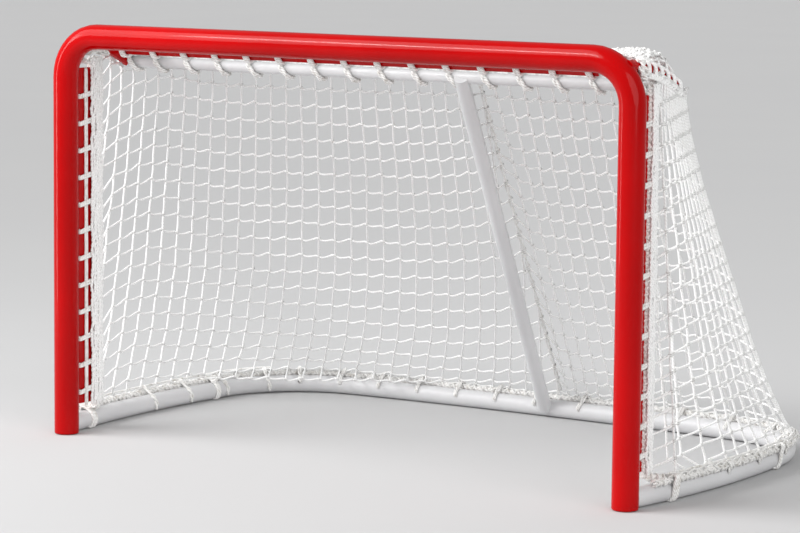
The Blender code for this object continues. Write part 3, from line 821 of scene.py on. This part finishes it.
def edge_strands(cords, side):
    """The upright strands of the net's edge, bunched along the post rope and wandering over it."""
    for out, y in EDGE_STRANDS:
        middle = []
        for z in np.arange(0.078, arm_height(y) - 0.026, 0.022):
            wander = jitter(0.0028, 2)
            middle.append((side * (STRIP_X + out + wander[0] * 0.4), y + wander[1], z))
        middle = spline(middle, 5)
        start = RANDOM.uniform(0, 6)
        for turn in (0, math.pi):
            angle = middle[:, 2] / 0.030 * 2 * math.pi + start + turn
            twist = np.stack([np.cos(angle) * 0.0014, np.sin(angle) * 0.0030, 0 * angle], 1)
            cords.one(middle + twist, NET_CORD_R * 0.9, 5)


# Materials


def nodes_of(name):
    made = bpy.data.materials.new(name)
    made.use_nodes = True
    return made, made.node_tree, made.node_tree.nodes["Principled BSDF"]


def feed(socket, value):
    """Links the output to the input, or sets the input's value."""
    if isinstance(value, bpy.types.NodeSocket):
        socket.id_data.links.new(value, socket)
    else:
        socket.default_value = value


def fill(node, **values):
    """Sets a node's properties and feeds its inputs."""
    for key, value in values.items():
        if hasattr(node, key):
            setattr(node, key, value)
        else:
            feed(node.inputs[key.replace("_", " ")], value)
    return node


def add(tree, kind, **values):
    return fill(tree.nodes.new(kind), **values)


def sums(tree, operation, *values):
    node = add(tree, "ShaderNodeMath", operation=operation)
    for socket, value in zip(node.inputs, values):
        feed(socket, value)
    return node.outputs["Value"]


def noise(tree, scale, detail, roughness=0.5):
    at = add(tree, "ShaderNodeTexCoord").outputs["Object"]
    values = dict(Vector=at, Scale=scale, Detail=detail, Roughness=roughness)
    return add(tree, "ShaderNodeTexNoise", **values).outputs["Fac"]


def ramp(tree, source, low, high, stops=(0.0, 1.0)):
    node = add(tree, "ShaderNodeValToRGB", Fac=source)
    for element, stop, colour in zip(node.color_ramp.elements, stops, (low, high)):
        element.position = stop
        element.color = (*colour, 1)
    return node.outputs["Color"]


def spread(tree, source, low, high):
    return add(tree, "ShaderNodeMapRange", Value=source, To_Min=low, To_Max=high).outputs["Result"]


def bump(tree, height, strength, distance, **under):
    values = dict(Height=height, Strength=strength, Distance=distance, **under)
    return add(tree, "ShaderNodeBump", **values).outputs["Normal"]


def paint(name, low, high, rough, coat, gloss, worn):
    """Paint on steel: faint colour drift, orange peel and small rubbed marks."""
    made, tree, shader = nodes_of(name)
    marks = noise(tree, 46.0, 6.0, 0.7)
    colour = ramp(tree, noise(tree, 3.0, 3.0), low, high, (0.35, 0.65))
    rubbed = ramp(tree, marks, (0, 0, 0), (1, 1, 1), (0.66, 0.74))
    mix = add(tree, "ShaderNodeMix", data_type="RGBA", Factor=rubbed, A=colour, B=(*worn, 1))
    fill(shader, Base_Color=mix.outputs["Result"], Roughness=spread(tree, marks, *rough))
    fill(shader, Coat_Weight=coat, Coat_Roughness=0.06, Specular_IOR_Level=gloss)
    fill(shader, Normal=bump(tree, noise(tree, 160.0, 2.0), 0.12, 0.0006))
    return made


def cord_material(name, light, shaded_groove_colour, flecks, strands):
    """Laid cord: strands that turn round it, with painted shade darkening the grooves between them
    and darker flecks.
    """
    made, tree, shader = nodes_of(name)
    uv = add(tree, "ShaderNodeUVMap", uv_map="cord").outputs["UV"]
    apart = add(tree, "ShaderNodeSeparateXYZ", Vector=uv).outputs
    around = sums(tree, "MULTIPLY", apart["Y"], strands)
    turn = sums(tree, "MULTIPLY_ADD", apart["X"], strands, around)
    wave = sums(tree, "SINE", sums(tree, "MULTIPLY", turn, math.pi))
    groove = sums(tree, "ABSOLUTE", wave)
    dust = noise(tree, 55.0, 5.0, 0.65)
    # painted shade: the cord's colour darkens from its ridges into the grooves between strands
    body = ramp(tree, groove, shaded_groove_colour, light, (0.0, 0.45))
    spots = ramp(tree, dust, (1, 1, 1), flecks, (0.52, 0.72))
    tint = add(tree, "ShaderNodeMix", data_type="RGBA", blend_type="MULTIPLY", Factor=1.0)
    fill(tint, A=body, B=spots)
    fill(shader, Base_Color=tint.outputs["Result"], Roughness=spread(tree, dust, 0.7, 0.95))
    fibre = bump(tree, noise(tree, 900.0, 2.0), 0.25, 0.0004)
    fill(shader, Sheen_Weight=0.25, Normal=bump(tree, groove, 0.6, 0.0012, Normal=fibre))
    return made


RED = paint(
    "red_gloss_paint", low=(0.38, 0.0002, 0.0006), high=(0.46, 0.0004, 0.0012),
    rough=(0.14, 0.24), coat=0.22, gloss=0.04, worn=(0.38, 0.004, 0.006),
)
WHITE = paint(
    "white_satin_paint", low=(0.64, 0.64, 0.65), high=(0.70, 0.70, 0.71),
    rough=(0.30, 0.46), coat=0.10, gloss=0.35, worn=(0.55, 0.54, 0.53),
)
# Each cord's second colour is the painted shade in its grooves
CORD = cord_material(
    "twisted_net_cord", (0.96, 0.96, 0.955), (0.74, 0.735, 0.725), (0.90, 0.895, 0.885), 2.0
)
# Knots: the net cord made darker, painted shade for the shadow round each knot
KNOT_PAINTED_SHADE = cord_material("net_knot_painted_shade", (0.80, 0.80, 0.79), (0.38, 0.375, 0.37), (0.76, 0.75, 0.74), 2.0)
LACING = cord_material(
    "lacing_cord", (0.95, 0.945, 0.93), (0.46, 0.44, 0.41), (0.60, 0.57, 0.52), 3.0
)
ROPE = cord_material(
    "border_rope", (0.95, 0.945, 0.93), (0.58, 0.56, 0.53), (0.72, 0.69, 0.64), 3.0
)


def smooth_shading():
    """Joins a solid's faces and rounds their shading, but for the edges of ends and holes."""
    tree = bpy.data.node_groups.new("round_the_shading", "GeometryNodeTree")
    for way in ("INPUT", "OUTPUT"):
        tree.interface.new_socket("Geometry", in_out=way, socket_type="NodeSocketGeometry")

    def step(kind, before, **values):
        return add(tree, kind, Geometry=before.outputs["Geometry"], **values)

    bare = step("GeometryNodeRemoveAttribute", add(tree, "NodeGroupInput"), Name="custom_normal")
    join = step("GeometryNodeMergeByDistance", bare, Distance=0.00001)
    angle = add(tree, "GeometryNodeInputMeshEdgeAngle").outputs["Unsigned Angle"]
    steep = add(tree, "FunctionNodeCompare", operation="GREATER_THAN", A=angle, B=math.radians(38))
    keep = step("GeometryNodeSetShadeSmooth", step("GeometryNodeSetShadeSmooth", join))
    fill(keep, domain="EDGE", Selection=steep.outputs["Result"], Shade_Smooth=False)
    step("NodeGroupOutput", keep)
    return tree


ROUNDED = smooth_shading()

RED_NODES = (
    "front_frame", "post_foot_left", "post_foot_right", "top_arm_left", "top_arm_right",
    "lacing_strip_left", "lacing_strip_right", "lacing_strip_top",
)
for node in RED_NODES + ("base_frame", "rear_top_bar", "centre_strut"):
    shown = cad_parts[node]
    shown.data.materials.clear()
    shown.data.materials.append(RED if node in RED_NODES else WHITE)
    shown.modifiers.new("round_the_shading", "NODES").node_group = ROUNDED


# The net's panels

net = Cords()
build_net(net, left_grid(), slack=0.0022)
edge_strands(net, -1)
net.make("net_left_half", CORD, "net_cord", "net_left", "net_back_left")

right = right_grid()
net = Cords()
back = {key: p for key, p in right.items() if key[0] <= RIGHT_COLUMNS}
beyond = {key: p for key, p in right.items() if key[0] >= RIGHT_COLUMNS}
build_net(net, back, slack=0.0032)
build_net(net, beyond, slack=0.0010, cord_r=SIDE_CORD_R, step=0.0006)
edge_strands(net, 1)
# the lacing that gathers the side's edge along the outside of the arm
for turn in (0, math.pi):
    path = []
    for k in range(90):
        y = 0.065 + (BAR_DEPTH - 0.072) * k / 89
        angle = k * 0.55 + turn
        out = NET_TOP_X + 0.002 + 0.002 * math.cos(angle)
        path.append((out, y, arm_height(y) - 0.022 + 0.006 * math.sin(angle)))
    net.one(path, ARM_CORD_R, 7)
net.make("net_right_half", CORD, "net_cord", "net_right", "net_back_right")

net = Cords()
build_net(net, top_grid(), slack=0.001, cord_r=TOP_CORD_R, step=0.0)
outer = ARM_X + BAR_R + 0.0045
for side, _ in SIDES:
    build_net(net, gathered_grid(side), slack=0.001, cord_r=TOP_CORD_R, step=0.0)
    # thick cords down over the arm's outer face, to the lacing under it
    for y in ARM_CORDS_Y:
        z = arm_height(y)
        drop = np.array((
            (ARM_X - 0.006, y - 0.006, z + BAR_R + 0.008),
            (outer - 0.004, y - 0.003, z + 0.012),
            (outer, y, z),
            (outer, y + 0.003, z - 0.024),
        ))
        for shift in (-0.0035, 0.0035):
            net.one(spline(drop * (side, 1, 1) + (0, shift, 0), 4), ARM_CORD_R, 7)
net.make("top_net", CORD, "net_cord", "net_top")

seam = Cords()
line = np.array([back_place(0.0, v) for v in np.linspace(0.004, 0.996, 120)])
for turn in (0, math.pi):
    phase = np.linspace(0, math.pi * BACK_ROWS, len(line)) + turn
    path = line.copy()
    path[:, 0] += np.cos(phase) * 0.0042
    path[:, 1] += np.sin(phase) * 0.0024
    seam.one(path, SEAM_CORD_R, 6)
rows = [right[(0, j)] for j in range(1, int(BACK_ROWS) + 1) if (0, j) in right]
knots(seam, rows, [(0.0, 0.0, 1.0)], [(0.0, 1.0, 0.0)], 0.0040)
seam.make("back_net_seam", LACING, "net_cord", "net_seam")


# Border ropes, each wound with thinner cords that hold the net's edge


def bound_rope(name, line, node, pitch, core):
    """A core rope with two cords wound over it at this pitch and a thinner one against them."""
    rope = Cords()
    line = np.asarray(line)
    rope.one(line, core, 10)
    far = lengths(line)
    turns = far[-1] / pitch
    count = max(60, int(turns * 10))
    want = np.linspace(0.002, far[-1] - 0.002, count)
    path = np.stack([np.interp(want, far, line[:, k]) for k in range(3)], axis=1)
    ahead = heading(path)
    first = np.cross(ahead, (0.12, 0.10, 1.0))
    flat = np.linalg.norm(first, axis=1) < 0.35
    first[flat] = np.cross(ahead[flat], (1.0, 0.0, 0.0))
    first = unit(first)
    second = np.cross(ahead, first)
    around = np.linspace(0, turns * 2 * math.pi, count)
    cords = ((0.0, 1, 0.75, 1.0), (math.pi, 1, 0.75, 1.0), (0.8, -1, 0.5, 0.8))
    for shift, turned, lift, size in cords:
        angle = (turned * around + shift + jitter(0.4, count))[:, None]
        out = (first * np.cos(angle) + second * np.sin(angle)) * (core + WRAP_R * lift)
        rope.one(path + out, WRAP_R * size, 6)
    rope.make(name, ROPE, "border_rope", node)


for side, word in SIDES:
    # straight up behind the strip, its foot turned back onto the base rope
    line = [base_section(0.150, side, -ROPE_OUT, BASE_ROPE_Z + 0.003)]
    line.append((side * (STRIP_X + 0.002), POST_ROPE_Y + 0.010, 0.071))
    for z in np.linspace(0.094, arm_height(POST_ROPE_Y) - 0.034, 20):
        line.append((side * STRIP_X, POST_ROPE_Y, z))
    bound_rope("post_rope_" + word, spline(line, 5), "border_rope_" + word, 0.034, POST_CORE_R)
half = ARM_X - BAR_R - 0.006
line = [(x, TOP_ROPE[1], TOP_ROPE[2]) for x in np.linspace(-half, half, 30)]
bound_rope("crossbar_rope", spline(line, 4), "border_rope_top", 0.040, TOP_CORE_R)
wants = np.linspace(0.09, 2 * BASE_LENGTH - 0.09, 150)
line = [base_section(want, -1, -ROPE_OUT, BASE_ROPE_Z) for want in wants]
bound_rope("base_rope", line, "border_rope_base", 0.040, BASE_CORE_R)


# Laces


def strip_lace(lace, stations, place, hole, rope_depth, rope_out, round_rope, slant, cord=LACE_R):
    """Twice round at each station: through the strip's hole and round the rope behind it."""
    flank = STRIP_THICK / 2 + cord
    between = (hole + rope_depth) / 2
    # out from the strip's middle, depth behind the tube and share of the loop's tilt
    around = [(flank, hole - 0.001, 0.0), (flank + 0.001, between, 0.5)]
    for a in np.radians((70, 35, 0, -35, -70)):
        out, depth = round_rope * math.sin(a), round_rope * math.cos(a)
        around.append((rope_out + out, rope_depth + depth, 1.0))
    around += [(-flank - 0.001, between, 0.5), (-flank, hole - 0.001, 0.0)]
    around.append((0.0, hole - 0.004, 0.0))
    for at in stations:
        tilt = slant + RANDOM.uniform(-0.0015, 0.0015)
        for turn in (-1, 1):
            loop = []
            for out, depth, lean in around:
                squeeze = 0.96 if lean > 0.2 else 0.72
                loop.append(place(out, depth, at + turn * cord * squeeze + tilt * (lean - 0.35)))
            lace.one(spline(loop, 5, closed=True), cord, 8, closed=True)


def beside(side):
    def place(out, depth, along):
        return np.array((side * (STRIP_X + out), depth, along))

    return place


def loose_knot(lace, centre, size):
    """A cord's end tied off: three loops turned every way about one place."""
    for _ in range(3):
        a = unit(jitter(1))
        b = unit(np.cross(a, (0.3, 0.5, 0.8)))
        middle = centre + jitter(0.5) * size
        turns = np.linspace(0, 2 * math.pi, 9)[:-1, None]
        ring = middle + (a * np.cos(turns) + b * np.sin(turns)) * size
        lace.one(spline(ring, 4, closed=True), LACE_R, 7, closed=True)


# The knots at each post rope's top: size, then out, back and up from it
CORNER_KNOTS = (
    (0.0145, -0.006, -0.055, -0.050), (0.0145, -0.006, -0.045, -0.020),
    (0.0145, -0.006, -0.015, -0.010), (0.0145, -0.006, 0.020, -0.020),
    (0.0145, -0.006, 0.045, -0.016), (0.0125, 0.006, -0.066, 0.014),
    (0.0125, 0.006, -0.062, -0.004), (0.0125, 0.006, -0.050, -0.018),
)

for side, word in SIDES:
    place = beside(side)
    lace = Cords()
    strip_lace(lace, POST_LACES, place, HOLE_DEPTH, POST_ROPE_Y - 0.012, 0.0, 0.0105, 0.012)
    # the lace's own run up the strip's inner face, from one hole to the next
    for shift in (-0.0036, 0.0036):
        inner = []
        for z in np.linspace(0.075, STRIP_TOP, 50):
            wander = RANDOM.uniform(-0.0006, 0.0006)
            inner.append(place(-STRIP_THICK / 2 - LACE_R * 0.8, 0.070 + shift + wander, z))
        lace.one(spline(inner, 3), LACE_R * 0.78, 8)
    corner = np.array((side * STRIP_X, POST_ROPE_Y, arm_height(POST_ROPE_Y)))
    for size, *offset in CORNER_KNOTS:
        loose_knot(lace, corner + np.array(offset) * (side, 1, 1), size)
    lace.make("post_lace_" + word, LACING, "net_cord", "lace_" + word)


def under(out, depth, along):
    return CROSSBAR + TOP_OUT * depth + TOP_ACROSS * out + (along, 0, 0)


lace = Cords()
strip_lace(
    lace, CROSSBAR_LACES, under, hole=TOP_HOLE_DEPTH, rope_depth=TOP_ROPE_DEPTH,
    rope_out=TOP_ROPE_OUT * 0.55, round_rope=0.0165, slant=0.0, cord=CROSSBAR_LACE_R,
)
lace.make("crossbar_lace", LACING, "net_cord", "lace_top")

# Round the rear bar the lace crosses the front slanting, in a twisted pair, and returns behind it
lace = Cords()
centre = np.array((0.0, BAR_DEPTH + 0.001, BAR_Z + 0.001))
reach = BAR_R + 2 * NET_CORD_R + BAR_LACE_R * 0.6
for at in CROSSBAR_LACES:
    start = max(at - 0.166 + 0.047 * (at + 0.735) / 1.53, 0.020 - ARM_X)
    for turn in (0, 1):
        path = []
        for k in range(30):
            a = math.radians(125 + 12 * k)
            share = smooth((k - 1) / 9) if k < 16 else 1 - smooth((k - 16) / 13)
            twist = math.pi * (k / 6 + turn)
            x = start + BAR_LACE_SLANT * share + math.cos(twist) * BAR_LACE_R * 0.9
            r = reach + math.sin(twist) * BAR_LACE_R * 0.55
            path.append(centre + (x, math.cos(a) * r, math.sin(a) * r))
        lace.one(spline(path, 2, closed=True), BAR_LACE_R, 7, closed=True)
lace.make("rear_bar_lace", LACING, "net_cord", "lace_rear_bar")


def twisted_pair(lace, path):
    """Two cords laid round each other, three turns on a closed path of points."""
    line = spline(path, 5, closed=True)
    ahead = heading(line, closed=True)
    out = line - line.mean(0)
    out = unit(out - ahead * np.sum(out * ahead, axis=1, keepdims=True))
    beside_it = np.cross(ahead, out)
    for turn in (0, math.pi):
        angle = np.arange(len(line))[:, None] / len(line) * 6 * math.pi + turn
        around = beside_it * np.cos(angle) + out * np.sin(angle) * 0.6
        lace.one(line + around * LACE_R * 0.9, LACE_R * 0.85, 7, closed=True)


def base_lace(lace, side, want, low_mouth, high_mouth, lean):
    """One lacing of the hem: over the rope, down the tube and back through its tunnel."""
    near = math.asin((low_mouth - BASE_R) / BASE_R)
    rim = BASE_R + LACE_R * 0.85
    over = BASE_CORE_R + 2 * WRAP_R + LACE_R * 0.5
    rise = high_mouth - BASE_R
    # (back along the tube, inward, height) of the loop's points
    loop = [(0, 0.35 * BASE_R, BASE_R + 0.35 * BASE_R * math.sin(near))]
    for share in np.linspace(0, 1, 6):
        a = near + (math.radians(68) - near) * share
        loop.append((lean * share, math.cos(a) * rim, BASE_R + math.sin(a) * rim))
    for a in np.radians((60, 100, 140, 180, 215)):
        height = BASE_ROPE_Z + 0.002 + math.sin(a) * over
        loop.append((lean, -ROPE_OUT + math.cos(a) * over, height))
    loop.append((0, -math.sqrt(BASE_R**2 - rise**2) - LACE_R * 0.3, high_mouth))
    loop.append((0, -0.5 * BASE_R, BASE_R + 0.5 * rise))
    twisted_pair(lace, [base_section(want - back, side, *place) for back, *place in loop])


for side, word in SIDES:
    lace = Cords()
    for want in SIDE_LACES:
        base_lace(lace, side, want, SIDE_TUNNEL_LOW, SIDE_TUNNEL_HIGH, 0.007)
    for along in LEFT_BACK_LACES if side < 0 else RIGHT_BACK_LACES:
        base_lace(lace, side, BASE_LENGTH - along, BACK_TUNNEL_Z, BACK_TUNNEL_Z, 0.003)
    # the hem's edge cord along the side and, on the right, the thin lacing that crosses over it
    wants = np.arange(0.15, 1.01, 0.011)
    for turn in (0, math.pi) if side > 0 else ():
        path = []
        for k, want in enumerate(wants):
            swing = math.sin(k * 0.78 + turn)
            inward = -ROPE_OUT - 0.006 - 0.004 * abs(swing)
            path.append(base_section(want, side, inward, HEM_Z - 0.002 + 0.0085 * swing))
        lace.one(spline(path, 3), HEM_LACING_R, 6)
    edge = [base_section(want, side, -ROPE_OUT - 0.001, HEM_Z + 0.008) for want in wants]
    lace.one(spline(edge, 2), HEM_CORD_R, 7)
    lace.make("base_lace_" + word, LACING, "net_cord", "lace_base_" + word)


def tie(name, node, side, want, turns):
    """Cord wound tight round the base tube and its rope, its ends tied off on top."""
    made = Cords()
    rope_top = BASE_ROPE_Z + BASE_CORE_R + 2 * WRAP_R
    r = BASE_R + TIE_R * 0.75
    for k in range(turns):
        beside_it = (k - (turns - 1) / 2) * TIE_R * 1.75
        path = []
        for degrees in range(-90, 270, 15):
            a = math.radians(degrees)
            inward, height = math.cos(a) * r, BASE_R + math.sin(a) * r
            over = math.exp(-(((degrees - 118) / 36) ** 2))
            inward -= over * 0.022
            height += over * (rope_top + TIE_R - height) * 0.92
            at = want + beside_it + RANDOM.uniform(-0.0006, 0.0006)
            path.append(base_section(at, side, inward, height))
        line = spline(path, 3, closed=True)
        line[:, 2] = np.maximum(line[:, 2], TIE_R + 0.0004)
        made.one(line, TIE_R, 8, closed=True)
    top = base_section(want, side, 0.012, BASE_R * 2 + TIE_R * 1.2)
    a = np.arange(8) * math.pi / 4
    for tilt in (0, 1.6):
        ring = np.stack([np.cos(a) * 0.007, np.sin(a) * 0.009, np.sin(a + tilt) * 0.004], 1)
        made.one(spline(top + ring, 4, closed=True), TIE_R * 0.8, 7, closed=True)
    made.make(name, LACING, "net_cord", node)


for side, word in SIDES:
    tie("foot_tie_cord_" + word, "foot_tie_" + word, side, FOOT_TIE_AT[side], 3)
    tie("corner_tie_cord_" + word, "corner_tie_" + word, side, CORNER_TIE_AT, 2)


# Floor, backdrop, lights, camera


def stage():
    made, tree, shader = nodes_of("pale_floor")
    colour = ramp(tree, noise(tree, 0.6, 2.0), (0.53, 0.53, 0.535), (0.55, 0.55, 0.55))
    fill(shader, Base_Color=colour, Roughness=0.9)
    mesh = bpy.data.meshes.new("floor")
    corners = [(60.0 * x, 60.0 * y, 0) for x, y in ((-1, -1), (1, -1), (1, 1), (-1, 1))]
    mesh.from_pydata(corners, [], [(0, 1, 2, 3)])
    mesh.materials.append(made)
    floor = add_object("floor", mesh)
    floor.location.z = -0.001
    world = bpy.data.worlds.new("studio")
    world.use_nodes = True
    fill(world.node_tree.nodes["Background"], Color=(1.0, 1.0, 1.0, 1.0), Strength=0.42)
    bpy.context.scene.world = world


def light(name, kind, way, power):
    """A light that shines the given way."""
    made = add_object(name, bpy.data.lights.new(name, kind))
    made.data.energy = power
    made.rotation_mode = "QUATERNION"
    made.rotation_quaternion = way.to_track_quat("-Z", "Y")
    return made


def lamp(name, place, target, size, power):
    made = light(name, "AREA", Vector(target) - Vector(place), power)
    made.location = place
    made.data.shape = "RECTANGLE"
    made.data.size, made.data.size_y = size


def sun(name, place, strength, width):
    """Even light from one way, its width in degrees."""
    light(name, "SUN", -Vector(place), strength).data.angle = math.radians(width)


def camera():
    made = add_object("camera", bpy.data.cameras.new("camera"))
    made.data.sensor_width = SENSOR
    made.data.lens = FOCAL_PIXELS * SENSOR / PICTURE_WIDTH
    made.data.clip_end = 200
    turn = Matrix((RIGHT, UP, -FORWARD)).transposed()
    place = Vector(CAMERA) + Vector((0, POST_Y, 0))
    made.matrix_world = Matrix.Translation(place) @ turn.to_4x4()
    bpy.context.scene.camera = made


stage()
sun("key", (-0.62, -0.55, 0.56), 2.4, 50)
sun("fill", (0.80, -0.45, 0.40), 1.4, 50)
lamp("left_strip", (-3.6, -2.4, 1.0), (0, 0, 0.7), (0.6, 2.8), 45)
lamp("strip_light", (-2.4, -4.2, 4.2), (0, 0, 0.9), (3.2, 0.5), 150)
camera()
bpy.context.scene.view_settings.view_transform = "Standard"
